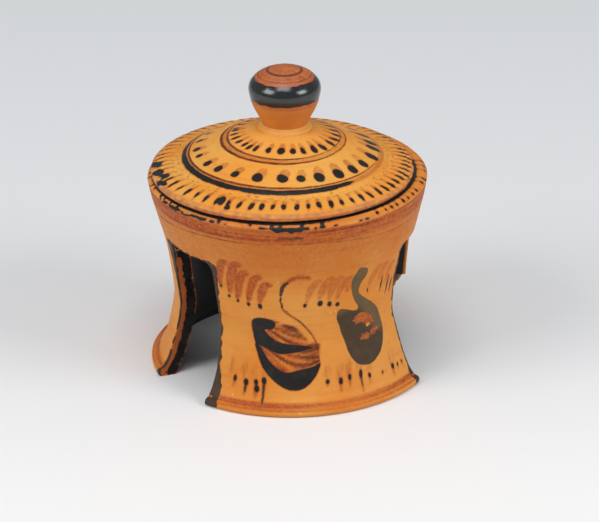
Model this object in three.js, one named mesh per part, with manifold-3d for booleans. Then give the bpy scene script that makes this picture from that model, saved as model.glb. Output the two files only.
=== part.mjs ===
// Tripod pyxis: a low round box of fired clay on three broad legs, with a domed lid and a knob.
// Millimetres, +Z up, origin on the ground under the middle of the box.
// An azimuth of 0 looks out along -Y, and azimuths grow towards +X.
import * as THREE from 'three';
import { mergeVertices } from 'three/addons/utils/BufferGeometryUtils.js';
import Module from 'manifold-3d';

const wasm = await Module();
wasm.setup();

// Driving dimensions of the box
const footRadius = 45.6;       // widest point of the foot's rounded band
const footBandHeight = 2.5;    // rounded band that runs along the bottom of each leg
const footUnderCut = 1.2;      // how far the band draws in at the ground
const footGrooveDepth = 0.7;   // groove above the band
const flareHeight = 12.4;      // top of the foot's flare
const flareRadius = 39.5;
const neckRadius = 37.4;       // narrowest part of the wall
const neckHeight = 27;
const shoulderRadius = 41.6;   // where the wall leans out towards the rim
const shoulderHeight = 52;
const rimRadius = 44.2;        // outer arris of the rim
const rimHeight = 63.4;
const rimBevelRise = 1.3;      // sloping face between the arris and the flat seat
const rimBevelRun = 1.8;
const wallThickness = 5.3;
const rimWallThickness = 3.8;  // flat seat on top of the wall

// Driving dimensions of the legs
const openingTop = 47;
const openingCornerRadius = 2.4;
const openingEdges = [
  { from: -70, to: -36.5 },
  { from: 60.5, to: 97 },
  { from: 176.5, to: 209.5 },
];
const breakStartHeight = 26.3; // the worn break across the third leg, from its near edge
const breakBendHeight = 21;    // it stays high at first, then drops
const breakEndAzimuth = 127;   // where the break reaches the ground
const breakHollow = 11;        // how far the break curves into the leg

// Driving dimensions of the bowl floor
const floorThickness = 4;
const floorBase = 48;          // underside of the floor
const floorDish = 0.8;         // the floor sinks this much towards its middle
const lutingWidth = 3.4;       // roll of clay pressed into the corner under the floor
const lutingHeight = 2.6;

// Driving dimensions of the lid
const lidRadius = 41.9;
const lidEdgeHeight = 2.3;     // rounded edge
const lidThickness = 4.4;
const outerZoneRise = 2.2;     // from the edge up to the groove
const grooveRadius = 33.3;     // sunk ring between the outer and the middle zone
const grooveDepth = 0.6;
const middleZoneRadius = 31.9;
const middleZoneHeight = 5.5;
const innerZoneRadius = 19.8;
const innerZoneHeight = 11;
const crownRadius = 8.6;
const crownHeight = 14.9;
const lidShiftX = -1.5;        // the lid rests a little to one side, within the play of its flange
const flangeDepth = 4.2;
const flangeThickness = 3.2;
const flangePlay = 1.8;        // between the flange and the narrowest part of the mouth

// Driving dimensions of the knob
const knobHeight = 19.5;
const knobRadius = 11.4;
const knobWidestHeight = 12.6; // above the crown of the lid
const knobShoulderRadius = 10.6;
const knobShoulderHeight = 8.6; // where the bulb turns in to the cone below it
const knobBaseRadius = 7.6;
const knobBaseHeight = 1.7;    // straight foot of the knob, inside the collar
const collarRadius = 8.4;
const collarHeight = 1.3;

// Clearances
const seatGap = 0.3;           // between pieces that touch
const curveSteps = 72;         // facets round each large turned piece
const knobSteps = 48;

const clay = { color: 0xc9782f, roughness: 0.62, metalness: 0 };
const paleClay = { color: 0xc98a4a, roughness: 0.75, metalness: 0 };
const glaze = { color: 0x1d1a18, roughness: 0.35, metalness: 0 };

const part = new THREE.Group();
part.name = 'tripod_pyxis';

function degrees(angle) {
  return THREE.MathUtils.degToRad(angle);
}

function placeOnCylinder(radius, azimuth, height) {
  return [radius * Math.sin(degrees(azimuth)), -radius * Math.cos(degrees(azimuth)), height];
}

// A turned piece: the profile is a list of [radius, height] and is spun round the vertical axis
function turn(profile, steps = curveSteps) {
  const points = profile.map(([radius, height]) => new THREE.Vector2(radius, height));
  const geometry = new THREE.LatheGeometry(points, steps);
  geometry.rotateX(Math.PI / 2);
  return geometry;
}

// A ring's profile closes on itself
function turnRing(profile, steps = curveSteps) {
  return turn([...profile, profile[0]], steps);
}

function toSolid(geometry) {
  const bare = geometry.clone();
  bare.deleteAttribute('normal');
  bare.deleteAttribute('uv');
  const merged = mergeVertices(bare, 1e-4);
  return new wasm.Manifold(new wasm.Mesh({
    numProp: 3,
    vertProperties: new Float32Array(merged.attributes.position.array),
    triVerts: new Uint32Array(merged.index.array),
  }));
}

function toGeometry(solid) {
  const mesh = solid.getMesh();
  const geometry = new THREE.BufferGeometry();
  geometry.setAttribute('position', new THREE.BufferAttribute(mesh.vertProperties, 3));
  geometry.setIndex(new THREE.BufferAttribute(mesh.triVerts, 1));
  geometry.computeVertexNormals();
  return geometry;
}

function addPiece(name, geometry, finish) {
  const piece = new THREE.Mesh(geometry, new THREE.MeshStandardMaterial(finish));
  piece.name = name;
  part.add(piece);
  return piece;
}

// Outer wall: the height runs from the groove above the foot to the rim
const grooveTop = footBandHeight + footGrooveDepth;
const outerCurve = new THREE.CatmullRomCurve3([
  new THREE.Vector3(footRadius - 2.3, 0, grooveTop),
  new THREE.Vector3(flareRadius + 1.9, 0, (grooveTop + flareHeight) / 2 - 1.6),
  new THREE.Vector3(flareRadius, 0, flareHeight),
  new THREE.Vector3(neckRadius + 0.25, 0, (flareHeight + neckHeight) / 2 + 1.5),
  new THREE.Vector3(neckRadius, 0, neckHeight),
  new THREE.Vector3((neckRadius + shoulderRadius) / 2 - 0.4, 0, (neckHeight + shoulderHeight) / 2 + 2),
  new THREE.Vector3(shoulderRadius, 0, shoulderHeight),
  new THREE.Vector3((shoulderRadius + rimRadius) / 2 + 0.35, 0, (shoulderHeight + rimHeight) / 2 + 0.8),
  new THREE.Vector3(rimRadius, 0, rimHeight),
]);
const wallSteps = 14;
const outerWall = outerCurve.getPoints(wallSteps).map((point) => [point.x, point.z]);

function wallRadiusAt(height) {
  for (let i = 1; i < outerWall.length; i += 1) {
    const [lowRadius, lowHeight] = outerWall[i - 1];
    const [highRadius, highHeight] = outerWall[i];
    if (height <= highHeight) {
      const share = (height - lowHeight) / (highHeight - lowHeight);
      return lowRadius + share * (highRadius - lowRadius);
    }
  }
  return rimRadius;
}

const seatHeight = rimHeight + rimBevelRise;
const seatRadius = rimRadius - rimBevelRun;
const mouthRadius = seatRadius - rimWallThickness;

function innerRadiusAt(height) {
  const share = THREE.MathUtils.clamp((height - shoulderHeight) / (rimHeight - shoulderHeight), 0, 1);
  const thickness = THREE.MathUtils.lerp(wallThickness, rimRadius - mouthRadius, share);
  return wallRadiusAt(height) - thickness;
}

// Rounded band and groove along the foot
const bandSteps = 6;
const footBand = [];
for (let i = 0; i <= bandSteps; i += 1) {
  const angle = degrees(-90 + (180 * i) / bandSteps);
  footBand.push([
    footRadius - footUnderCut + footUnderCut * Math.cos(angle),
    footBandHeight / 2 + (footBandHeight / 2) * Math.sin(angle),
  ]);
}
const footGroove = [footRadius - footUnderCut - footGrooveDepth, footBandHeight + footGrooveDepth / 3];

const innerWall = [];
const innerSteps = 9;
const footInnerRadius = footRadius - footUnderCut - wallThickness + 0.6;
for (let i = 0; i <= innerSteps; i += 1) {
  const height = seatHeight - ((seatHeight - grooveTop) * i) / innerSteps;
  const radius = height > rimHeight ? mouthRadius : innerRadiusAt(height);
  innerWall.push([radius, height]);
}

const ring = toSolid(turnRing([
  ...footBand,
  footGroove,
  ...outerWall,
  [seatRadius, seatHeight],
  ...innerWall,
  [footInnerRadius, 0],
]));

// A cutter that runs outwards from the axis: its outline is a list of [azimuth, height]
function radialCutter(outline, innerReach, outerReach) {
  const positions = [];
  outline.forEach(([azimuth, height]) => positions.push(...placeOnCylinder(innerReach, azimuth, height)));
  outline.forEach(([azimuth, height]) => positions.push(...placeOnCylinder(outerReach, azimuth, height)));
  const count = outline.length;
  const contour = outline.map(([azimuth, height]) => new THREE.Vector2(azimuth, height));
  const faces = THREE.ShapeUtils.triangulateShape(contour, []);
  const index = [];
  faces.forEach(([a, b, c]) => index.push(c, b, a, count + a, count + b, count + c));
  for (let i = 0; i < count; i += 1) {
    const next = (i + 1) % count;
    index.push(i, next, count + i, next, count + next, count + i);
  }
  return new wasm.Manifold(new wasm.Mesh({
    numProp: 3,
    vertProperties: new Float32Array(positions),
    triVerts: new Uint32Array(index),
  }));
}

const cutterInner = neckRadius / 2;
const cutterOuter = footRadius * 1.3;
const belowGround = -5;
const cornerSteps = 5;

function openingOutline({ from, to }) {
  const cornerAngle = THREE.MathUtils.radToDeg(openingCornerRadius / neckRadius);
  const outline = [[from, belowGround], [to, belowGround]];
  for (let i = 0; i <= cornerSteps; i += 1) {
    const angle = degrees((90 * i) / cornerSteps);
    outline.push([
      to - cornerAngle + cornerAngle * Math.cos(angle),
      openingTop - openingCornerRadius + openingCornerRadius * Math.sin(angle),
    ]);
  }
  for (let i = 0; i <= cornerSteps; i += 1) {
    const angle = degrees(90 + (90 * i) / cornerSteps);
    outline.push([
      from + cornerAngle + cornerAngle * Math.cos(angle),
      openingTop - openingCornerRadius + openingCornerRadius * Math.sin(angle),
    ]);
  }
  return outline;
}

// The break across the third leg: a hollow curve from the leg's near edge down to the ground
const nearEdge = openingEdges[1].to;
const breakCurve = new THREE.QuadraticBezierCurve(
  new THREE.Vector2(nearEdge, breakStartHeight),
  new THREE.Vector2((nearEdge + breakEndAzimuth) / 2 + breakHollow, breakBendHeight),
  new THREE.Vector2(breakEndAzimuth, 0),
);
const breakSteps = 8;
const breakOutline = [
  [openingEdges[1].from + 8, belowGround],
  [breakEndAzimuth + 1, belowGround],
  ...breakCurve.getPoints(breakSteps).reverse().map((point) => [point.x, point.y]),
  [openingEdges[1].from + 8, breakStartHeight],
];

let wall = ring;
openingEdges.forEach((edges) => {
  wall = wall.subtract(radialCutter(openingOutline(edges), cutterInner, cutterOuter));
});
wall = wall.subtract(radialCutter(breakOutline, cutterInner, cutterOuter));
addPiece('wall_and_legs', toGeometry(wall), clay);

// Bowl floor: a turned disc that was pushed up inside the wall and luted there
const floorTop = floorBase + floorThickness;
addPiece('bowl_floor', turn([
  [0, floorBase - floorDish],
  [neckRadius / 2, floorBase - floorDish * 0.75],
  [innerRadiusAt(floorBase) - seatGap - lutingWidth, floorBase],
  [innerRadiusAt(floorBase) - seatGap, floorBase],
  [innerRadiusAt(floorTop) - seatGap, floorTop],
  [neckRadius / 2, floorTop - floorDish * 0.75],
  [0, floorTop - floorDish],
]), glaze);

// Roll of soft clay pressed into the corner under the floor
const lutingTop = floorBase - seatGap;
const lutingOuter = innerRadiusAt(lutingTop) - seatGap;
const lutingLowRadius = innerRadiusAt(lutingTop - lutingHeight) - seatGap;
const lutingSteps = 5;
const lutingRoll = [];
for (let i = 0; i <= lutingSteps; i += 1) {
  const angle = degrees((90 * i) / lutingSteps);
  lutingRoll.push([
    lutingLowRadius - lutingWidth * Math.sin(angle),
    lutingTop - lutingHeight * Math.cos(angle),
  ]);
}
addPiece('floor_luting', turnRing([[lutingOuter, lutingTop], ...lutingRoll.reverse()]), paleClay);

// Lid
const lid = new THREE.Group();
lid.position.set(lidShiftX, 0, seatHeight + seatGap);
part.add(lid);

function addToLid(name, geometry, finish) {
  const piece = addPiece(name, geometry, finish);
  lid.add(piece);
  return piece;
}

const edgeSteps = 6;
const lidEdge = [];
for (let i = 0; i <= edgeSteps; i += 1) {
  const angle = degrees(-60 + (130 * i) / edgeSteps);
  const roundness = lidEdgeHeight / 2;
  lidEdge.push([
    lidRadius - roundness + roundness * Math.cos(angle),
    roundness + roundness * Math.sin(angle),
  ]);
}
const narrowestMouth = Math.min(mouthRadius, innerRadiusAt(seatHeight - flangeDepth));
const mouthPlayRadius = narrowestMouth - flangePlay;
const flangeInner = mouthPlayRadius - flangeThickness;
addToLid('lid_plate', turn([
  [0, crownHeight - lidThickness + 0.4],
  [crownRadius, crownHeight - lidThickness],
  [innerZoneRadius, innerZoneHeight - lidThickness],
  [flangeInner - 3, middleZoneHeight - lidThickness - 0.2],
  [flangeInner - 0.6, 0],
  [lidRadius - 1.2, 0],
  ...lidEdge,
  [(lidRadius + grooveRadius) / 2 - 0.6, lidEdgeHeight + outerZoneRise * 0.72],
  [grooveRadius + 1.2, lidEdgeHeight + outerZoneRise],
  [grooveRadius, middleZoneHeight - grooveDepth - 0.3],
  [middleZoneRadius, middleZoneHeight],
  [(middleZoneRadius + innerZoneRadius) / 2, (middleZoneHeight + innerZoneHeight) / 2 + 0.25],
  [innerZoneRadius, innerZoneHeight],
  [(innerZoneRadius + crownRadius) / 2, (innerZoneHeight + crownHeight) / 2 + 0.35],
  [crownRadius, crownHeight],
  [0, crownHeight],
]), clay);

addToLid('lid_flange', turnRing([
  [flangeInner + 0.4, -seatGap - flangeDepth],
  [mouthPlayRadius - 0.6, -seatGap - flangeDepth],
  [mouthPlayRadius, -seatGap - flangeDepth + 0.8],
  [mouthPlayRadius, 0],
  [flangeInner, 0],
]), clay);

// Knob: a straight foot, a cone and a flattened bulb, thrown solid
const bulbSteps = 9;
const bulb = [];
for (let i = 0; i < bulbSteps; i += 1) {
  const angle = degrees((90 * i) / bulbSteps);
  bulb.push([
    knobRadius * Math.cos(angle) ** 0.9,
    knobWidestHeight + (knobHeight - knobWidestHeight) * Math.sin(angle),
  ]);
}
const bulbTurn = knobWidestHeight - knobShoulderHeight;
addToLid('lid_knob', turn([
  [0, 0],
  [knobBaseRadius, 0],
  [knobBaseRadius, knobBaseHeight],
  [knobShoulderRadius, knobShoulderHeight],
  [(knobShoulderRadius + knobRadius) / 2 + 0.3, knobShoulderHeight + bulbTurn / 2],
  ...bulb,
  [0, knobHeight],
], knobSteps).translate(0, 0, crownHeight), clay);

// Ring of clay smoothed round the foot of the knob
const collarInner = knobBaseRadius + seatGap;
addToLid('knob_collar', turnRing([
  [collarInner, 0],
  [collarRadius, 0],
  [collarRadius - 0.15, collarHeight * 0.55],
  [collarInner + 0.1, collarHeight],
], knobSteps).translate(0, 0, crownHeight), clay);

part.updateMatrixWorld(true);
export default part;
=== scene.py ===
import math
import random
import bmesh
import bpy
import numpy as np
from mathutils import Matrix, Vector, geometry, noise


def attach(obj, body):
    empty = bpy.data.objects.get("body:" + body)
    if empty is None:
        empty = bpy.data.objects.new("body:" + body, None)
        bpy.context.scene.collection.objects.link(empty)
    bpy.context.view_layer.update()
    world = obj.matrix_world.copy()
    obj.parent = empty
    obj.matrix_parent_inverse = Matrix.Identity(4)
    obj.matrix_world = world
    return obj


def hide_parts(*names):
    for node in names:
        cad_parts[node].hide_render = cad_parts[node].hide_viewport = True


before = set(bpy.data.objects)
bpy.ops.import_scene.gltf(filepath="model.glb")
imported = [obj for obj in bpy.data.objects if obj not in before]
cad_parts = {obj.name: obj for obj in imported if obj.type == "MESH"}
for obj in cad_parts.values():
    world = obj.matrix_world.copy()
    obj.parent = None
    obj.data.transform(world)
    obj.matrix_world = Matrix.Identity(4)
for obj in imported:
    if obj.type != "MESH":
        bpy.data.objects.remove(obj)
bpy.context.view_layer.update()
mm = 0.001
print("stage: frame loaded")


# Colours are noted down as 0 to 255 screen values
def tint(red, green, blue):
    def linear(value):
        value = value / 255
        return value / 12.92 if value <= 0.04045 else ((value + 0.055) / 1.055) ** 2.4
    return (linear(red), linear(green), linear(blue), 1.0)


clayTints = {
    "wall": tint(216, 132, 47),
    "wallPale": tint(222, 150, 68),
    "wallDeep": tint(184, 97, 36),
    "lid": tint(230, 149, 52),
    "lidPale": tint(231, 166, 77),
    "lidDeep": tint(202, 114, 42),
    "knob": tint(190, 108, 44),
    # reddish wash, also the colour of the painted shade under the rim
    "wash": tint(160, 62, 24),
    "washDeep": tint(74, 34, 22),
    "black": tint(30, 29, 28),
    "blackBrown": tint(42, 41, 36),
    "blueBlack": tint(20, 26, 30),
    "olive": tint(94, 80, 52),
    "greyOlive": tint(62, 62, 54),
    "inside": tint(20, 18, 18),
    "insideBrown": tint(44, 28, 22),
    "strip": tint(182, 92, 42),
    "bare": tint(206, 138, 74),
    "edgePink": tint(186, 116, 80),
}


# Camera: stands a metre from the pot and looks down on it
cameraSizes = {
    "aim": (3.44, 0.0, 33.0),
    "distance": 1000.0,
    "tilt": 24.48,         # degrees below level
    "roll": 0.56,
    "imageWidth": 599,
    "pixelsPerMm": 3.1337,  # at the aim point
    "sensor": 36.0,
}


def makeCamera():
    sizes = cameraSizes
    tilt = math.radians(sizes["tilt"])
    roll = math.radians(sizes["roll"])
    forward = Vector((0, math.cos(tilt), -math.sin(tilt)))
    levelUp = Vector((0, math.sin(tilt), math.cos(tilt)))
    levelRight = Vector((1, 0, 0))
    right = levelRight * math.cos(roll) - levelUp * math.sin(roll)
    up = levelRight * math.sin(roll) + levelUp * math.cos(roll)
    place = (Vector(sizes["aim"]) - forward * sizes["distance"]) * mm
    data = bpy.data.cameras.new("camera")
    data.sensor_width = sizes["sensor"]
    data.lens = sizes["pixelsPerMm"] * sizes["distance"] * sizes["sensor"] / sizes["imageWidth"]
    data.clip_start = 0.01
    data.clip_end = 20
    camera = bpy.data.objects.new("camera", data)
    bpy.context.scene.collection.objects.link(camera)
    turn = Matrix((right, up, -forward)).transposed().to_4x4()
    camera.matrix_world = Matrix.Translation(place) @ turn
    bpy.context.scene.camera = camera


makeCamera()
print("stage: camera")


# Small helpers for shader nodes. A tint may be given by its name
def setInputs(tree, node, inputs):
    for key, value in inputs.items():
        socket = node.inputs[key]
        if isinstance(value, bpy.types.NodeSocket):
            tree.links.new(value, socket)
        else:
            socket.default_value = clayTints[value] if isinstance(value, str) else value


def addNode(tree, kind, settings=None, inputs=None):
    node = tree.nodes.new(kind)
    for key, value in (settings or {}).items():
        setattr(node, key, value)
    setInputs(tree, node, inputs or {})
    return node


def mathNode(tree, operation, first, second=0.0, clamp=False):
    node = addNode(tree, "ShaderNodeMath", {"operation": operation, "use_clamp": clamp},
                   {0: first, 1: second})
    return node.outputs[0]


def times(tree, first, second, clamp=False):
    return mathNode(tree, "MULTIPLY", first, second, clamp)


def mixNode(tree, kind, share, first, second):
    node = addNode(tree, "ShaderNodeMix", {"data_type": kind}, {"Factor": share, "A": first, "B": second})
    return node.outputs["Result"]


def mixColour(tree, share, first, second):
    return mixNode(tree, "RGBA", share, first, second)


def ramp(tree, value, low, high, toLow=0.0, toHigh=1.0):
    node = addNode(tree, "ShaderNodeMapRange", {"interpolation_type": "SMOOTHSTEP"},
                   {"Value": value, "From Min": low, "From Max": high,
                    "To Min": toLow, "To Max": toHigh})
    return node.outputs["Result"]


def noiseNode(tree, vector, scale, detail=2.0, roughness=0.5):
    node = addNode(tree, "ShaderNodeTexNoise", None,
                   {"Vector": vector, "Scale": scale, "Detail": detail, "Roughness": roughness})
    return node.outputs["Fac"]


def scaled(tree, vector, factors):
    node = addNode(tree, "ShaderNodeVectorMath", {"operation": "MULTIPLY"},
                   {0: vector, 1: factors})
    return node.outputs["Vector"]


def axesOf(tree, vector):
    return addNode(tree, "ShaderNodeSeparateXYZ", None, {0: vector}).outputs


def newGroup(name, inputs, outputs):
    group = bpy.data.node_groups.new(name, "ShaderNodeTree")
    for label, kind, value in inputs:
        socket = group.interface.new_socket(label, in_out="INPUT", socket_type=kind)
        if value is not None:
            socket.default_value = value
    for label, kind in outputs:
        group.interface.new_socket(label, in_out="OUTPUT", socket_type=kind)
    source = group.nodes.new("NodeGroupInput")
    sink = group.nodes.new("NodeGroupOutput")
    return group, source.outputs, sink.inputs


# Fired clay: mottled colour, fine lines from the wheel, small specks of lime and grit
def makeClayGroup():
    inputs = [("Position", "NodeSocketVector", None), ("Along", "NodeSocketFloat", 0.0),
              ("Colour", "NodeSocketColor", None), ("Pale", "NodeSocketColor", None),
              ("Deep", "NodeSocketColor", None)]
    outputs = [("Colour", "NodeSocketColor"), ("Roughness", "NodeSocketFloat"),
               ("Height", "NodeSocketFloat")]
    group, given, result = newGroup("firedClay", inputs, outputs)
    place = given["Position"]
    cloud = noiseNode(group, place, 0.045, 3.0, 0.55)
    mottle = noiseNode(group, place, 0.35, 4.0, 0.6)
    across = axesOf(group, scaled(group, place, (0.03, 0.03, 0.03)))
    ringVector = addNode(group, "ShaderNodeCombineXYZ", None,
                         {"X": across[0], "Y": across[1],
                          "Z": given["Along"]}).outputs[0]
    wide = noiseNode(group, scaled(group, ringVector, (1, 1, 0.55)), 1.0, 3.0, 0.6)
    fine = noiseNode(group, scaled(group, ringVector, (1.6, 1.6, 3.2)), 1.0, 3.0, 0.65)
    colour = mixColour(group, ramp(group, cloud, 0.35, 0.68), given["Colour"], given["Pale"])
    for value, low, high, most, tone in ((wide, 0.5, 0.78, 0.32, "Deep"), (fine, 0.54, 0.78, 0.2, "Deep"),
                                         (fine, 0.44, 0.26, 0.2, "Pale"),
                                         (mottle, 0.55, 0.8, 0.28, "Deep")):
        colour = mixColour(group, ramp(group, value, low, high, 0.0, most), colour, given[tone])
    cells = addNode(group, "ShaderNodeTexVoronoi", None, {"Vector": place, "Scale": 0.62})
    pick = addNode(group, "ShaderNodeSeparateColor", None, {0: cells.outputs["Color"]})
    near = ramp(group, cells.outputs["Distance"], 0.13, 0.07)
    white = times(group, near, mathNode(group, "GREATER_THAN", pick.outputs[0], 0.93))
    grit = times(group, near, mathNode(group, "LESS_THAN", pick.outputs[0], 0.12))
    colour = mixColour(group, times(group, white, 0.75), colour, tint(244, 226, 180))
    colour = mixColour(group, times(group, grit, 0.6), colour, tint(120, 52, 26))
    grain = noiseNode(group, place, 3.2, 3.0, 0.7)
    rough = ramp(group, mottle, 0.3, 0.8, 0.5, 0.68)
    lines = times(group, fine, 0.6)
    body = times(group, wide, 0.5)
    height = mathNode(group, "ADD", mathNode(group, "ADD", lines, body),
                      times(group, grain, 0.35))
    height = mathNode(group, "SUBTRACT", height, times(group, grit, 0.6))
    for name, value in (("Colour", colour), ("Roughness", rough), ("Height", height)):
        group.links.new(value, result[name])
    return group


# Brush edge: turns a distance in millimetres into paint cover
def makeBrushGroup():
    inputs = [("Position", "NodeSocketVector", None), ("Distance", "NodeSocketFloat", 5.0),
              ("Softness", "NodeSocketFloat", 0.16), ("Roughen", "NodeSocketFloat", 0.2),
              ("Wear", "NodeSocketFloat", 0.3)]
    outputs = [("Cover", "NodeSocketFloat"), ("Patch", "NodeSocketFloat")]
    group, given, result = newGroup("brushEdge", inputs, outputs)
    ragged = noiseNode(group, given["Position"], 1.1, 4.0, 0.6)
    shift = times(group, mathNode(group, "SUBTRACT", ragged, 0.5), given["Roughen"])
    distance = mathNode(group, "ADD", given["Distance"], times(group, shift, 2.0))
    half = times(group, given["Softness"], 0.5)
    cover = ramp(group, distance, half, times(group, half, -1.0))
    thin = noiseNode(group, given["Position"], 0.8, 5.0, 0.7)
    holes = ramp(group, thin, 0.66, 0.72)
    worn = times(group, holes, given["Wear"])
    cover = times(group, cover, mathNode(group, "SUBTRACT", 1.0, worn))
    patch = noiseNode(group, given["Position"], 0.28, 3.0, 0.55)
    group.links.new(cover, result["Cover"])
    group.links.new(patch, result["Patch"])
    return group


clayGroup = makeClayGroup()
brushGroup = makeBrushGroup()


def newMaterial(name):
    material = bpy.data.materials.new(name)
    material.use_nodes = True
    tree = material.node_tree
    shader = tree.nodes["Principled BSDF"]
    return material, tree, shader


def positionInMm(tree):
    place = addNode(tree, "ShaderNodeTexCoord").outputs["Object"]
    return scaled(tree, place, (1000, 1000, 1000))


def groupNode(tree, group, inputs):
    return addNode(tree, "ShaderNodeGroup", {"node_tree": group}, inputs).outputs


def field(tree, name):
    node = addNode(tree, "ShaderNodeAttribute", {"attribute_type": "GEOMETRY", "attribute_name": name})
    return node.outputs["Fac"]


def firedClay(tree, place, along, colours):
    main, pale, deep = (clayTints[name] for name in colours)
    return groupNode(tree, clayGroup, {"Position": place, "Along": along, "Colour": main, "Pale": pale,
                                       "Deep": deep})


def brushEdge(tree, place, name, softness, wear):
    return groupNode(tree, brushGroup, {"Position": place, "Distance": field(tree, name),
                                        "Softness": softness, "Wear": wear})


def bumpNode(tree, height, strength, distance):
    node = addNode(tree, "ShaderNodeBump", None,
                   {"Height": height, "Strength": strength, "Distance": distance * mm})
    return node.outputs["Normal"]


# Painted clay: clay, reddish wash that on the wall also carries painted shade, dark slip and black slip,
# then the dark slip of inside and cut faces
def paintedClay(name, colours, along, hasInside):
    material, tree, shader = newMaterial(name)
    place = positionInMm(tree)
    axes = axesOf(tree, place)
    if along == "height":
        distance = axes[2]
    else:
        flat = addNode(tree, "ShaderNodeCombineXYZ", None, {"X": axes[0], "Y": axes[1]}).outputs[0]
        distance = addNode(tree, "ShaderNodeVectorMath", {"operation": "LENGTH"},
                           {0: flat}).outputs["Value"]
    clay = firedClay(tree, place, distance, colours)
    colour = clay["Colour"]
    colour = mixColour(tree, field(tree, "edgeTone"), colour, "edgePink")
    blotch = noiseNode(tree, place, 0.9, 4.0, 0.65)
    # Reddish wash; on the wall it also carries the painted shade under the rim
    soft = times(tree, field(tree, "washAndShade"), ramp(tree, blotch, 0.25, 0.7, 0.6, 1.15), True)
    colour = mixColour(tree, soft, colour, "wash")
    line = brushEdge(tree, place, "linePaint", 0.3, 0.3)
    lineTint = mixColour(tree, ramp(tree, line["Patch"], 0.35, 0.65), "wash", "washDeep")
    colour = mixColour(tree, times(tree, line["Cover"], field(tree, "lineStrength")),
                       colour, lineTint)
    colour = mixColour(tree, field(tree, "streakPaint"), colour, "washDeep")
    dark = brushEdge(tree, place, "darkPaint", 0.24, 0.3)
    darkTint = mixColour(tree, field(tree, "thinPaint"), "blackBrown", "olive")
    darkTint = mixColour(tree, ramp(tree, dark["Patch"], 0.4, 0.7, 0.0, 0.35), darkTint, "greyOlive")
    colour = mixColour(tree, times(tree, dark["Cover"], 0.94), colour, darkTint)
    halo = ramp(tree, field(tree, "blackPaint"), 0.5, 0.05, 0.0, 0.4)
    colour = mixColour(tree, halo, colour, "wash")
    black = brushEdge(tree, place, "blackPaint", 0.2, 0.22)
    blackTint = mixColour(tree, ramp(tree, black["Patch"], 0.45, 0.75),
                          "black", "blackBrown")
    colour = mixColour(tree, black["Cover"], colour, blackTint)
    rough = mixNode(tree, "FLOAT", black["Cover"], clay["Roughness"], 0.4)
    if hasInside:
        inside = field(tree, "insideSlip")
        insideTint = mixColour(tree, ramp(tree, blotch, 0.5, 0.72), "inside",
                               "insideBrown")
        colour = mixColour(tree, inside, colour, insideTint)
        flaked = mathNode(tree, "ADD", field(tree, "bareStrip"), ramp(tree, blotch, 0.35, 0.65, -0.3, 0.3))
        strip = ramp(tree, flaked, 0.35, 0.6)
        colour = mixColour(tree, strip, colour, "strip")
        rough = mixNode(tree, "FLOAT", inside, rough, 0.45)
    setInputs(tree, shader, {"Base Color": colour, "Roughness": rough, "Specular IOR Level": 0.22,
                             "Normal": bumpNode(tree, clay["Height"], 0.3, 0.16)})
    return material


# Bare clay, for what was never painted
def bareClay(name, colours):
    material, tree, shader = newMaterial(name)
    place = positionInMm(tree)
    axes = axesOf(tree, place)
    clay = firedClay(tree, place, axes[2], colours)
    setInputs(tree, shader, {"Base Color": clay["Colour"], "Roughness": clay["Roughness"],
                             "Normal": bumpNode(tree, clay["Height"], 0.5, 0.3)})
    return material


# Dark slip over the inside of the bowl, worn to brown in places
def darkSlip(name):
    material, tree, shader = newMaterial(name)
    place = positionInMm(tree)
    patch = noiseNode(tree, place, 0.16, 5.0, 0.6)
    grain = noiseNode(tree, place, 2.4, 3.0, 0.65)
    colour = mixColour(tree, ramp(tree, patch, 0.42, 0.7), "inside", "insideBrown")
    colour = mixColour(tree, ramp(tree, grain, 0.68, 0.78, 0.0, 0.5), colour, "wallDeep")
    setInputs(tree, shader, {"Base Color": colour, "Roughness": ramp(tree, patch, 0.3, 0.8, 0.32, 0.55),
                             "Normal": bumpNode(tree, grain, 0.4, 0.2)})
    return material


# Shapes
def smoothLine(points, step, closed=False):
    count = len(points)
    places = [Vector(point).to_3d() for point in points]
    line = []
    last = count if closed else count - 1
    for i in range(last):
        if closed:
            before, here, there, after = (places[(i + k) % count] for k in (-1, 0, 1, 2))
        else:
            before, here = places[max(i - 1, 0)], places[i]
            there, after = places[i + 1], places[min(i + 2, count - 1)]
        cuts = max(2, int((there - here).length / step) + 1)
        arc = geometry.interpolate_bezier(here, here + (there - before) / 6,
                                          there - (after - here) / 6, there, cuts + 1)
        line.extend(arc[:-1])
    if not closed:
        line.append(places[-1])
    return [(point.x, point.y) for point in line]


def arcLine(centre, radius, fromAngle, toAngle, steps):
    line = []
    for i in range(steps + 1):
        angle = math.radians(fromAngle + (toAngle - fromAngle) * i / steps)
        line.append((centre[0] + radius[0] * math.cos(angle), centre[1] + radius[1] * math.sin(angle)))
    return line


def spinProfile(bm, profile, fromAngle, toAngle, columns, closed):
    start = Matrix.Rotation(math.radians(fromAngle), 3, "Z")
    verts = [bm.verts.new(start @ Vector((0, -radius, height)) * mm) for radius, height in profile]
    pairs = range(len(verts)) if closed else range(1, len(verts))
    edges = [bm.edges.new((verts[i - 1], verts[i])) for i in pairs]
    whole = abs(toAngle - fromAngle) > 359.9
    bmesh.ops.spin(bm, geom=verts + edges, cent=(0, 0, 0), axis=(0, 0, 1), dvec=(0, 0, 0),
                   angle=math.radians(toAngle - fromAngle), steps=columns, use_merge=whole,
                   use_duplicate=False)


def tidyMesh(bm):
    bmesh.ops.remove_doubles(bm, verts=bm.verts[:], dist=0.004 * mm)
    bmesh.ops.recalc_face_normals(bm, faces=bm.faces[:])


def turned(profile, columns, closed):
    bm = bmesh.new()
    spinProfile(bm, profile, 0, 360, columns, closed)
    tidyMesh(bm)
    return bm


def slideOver(bm, shift):
    bmesh.ops.translate(bm, verts=bm.verts[:], vec=(shift[0] * mm, shift[1] * mm, 0))


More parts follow.
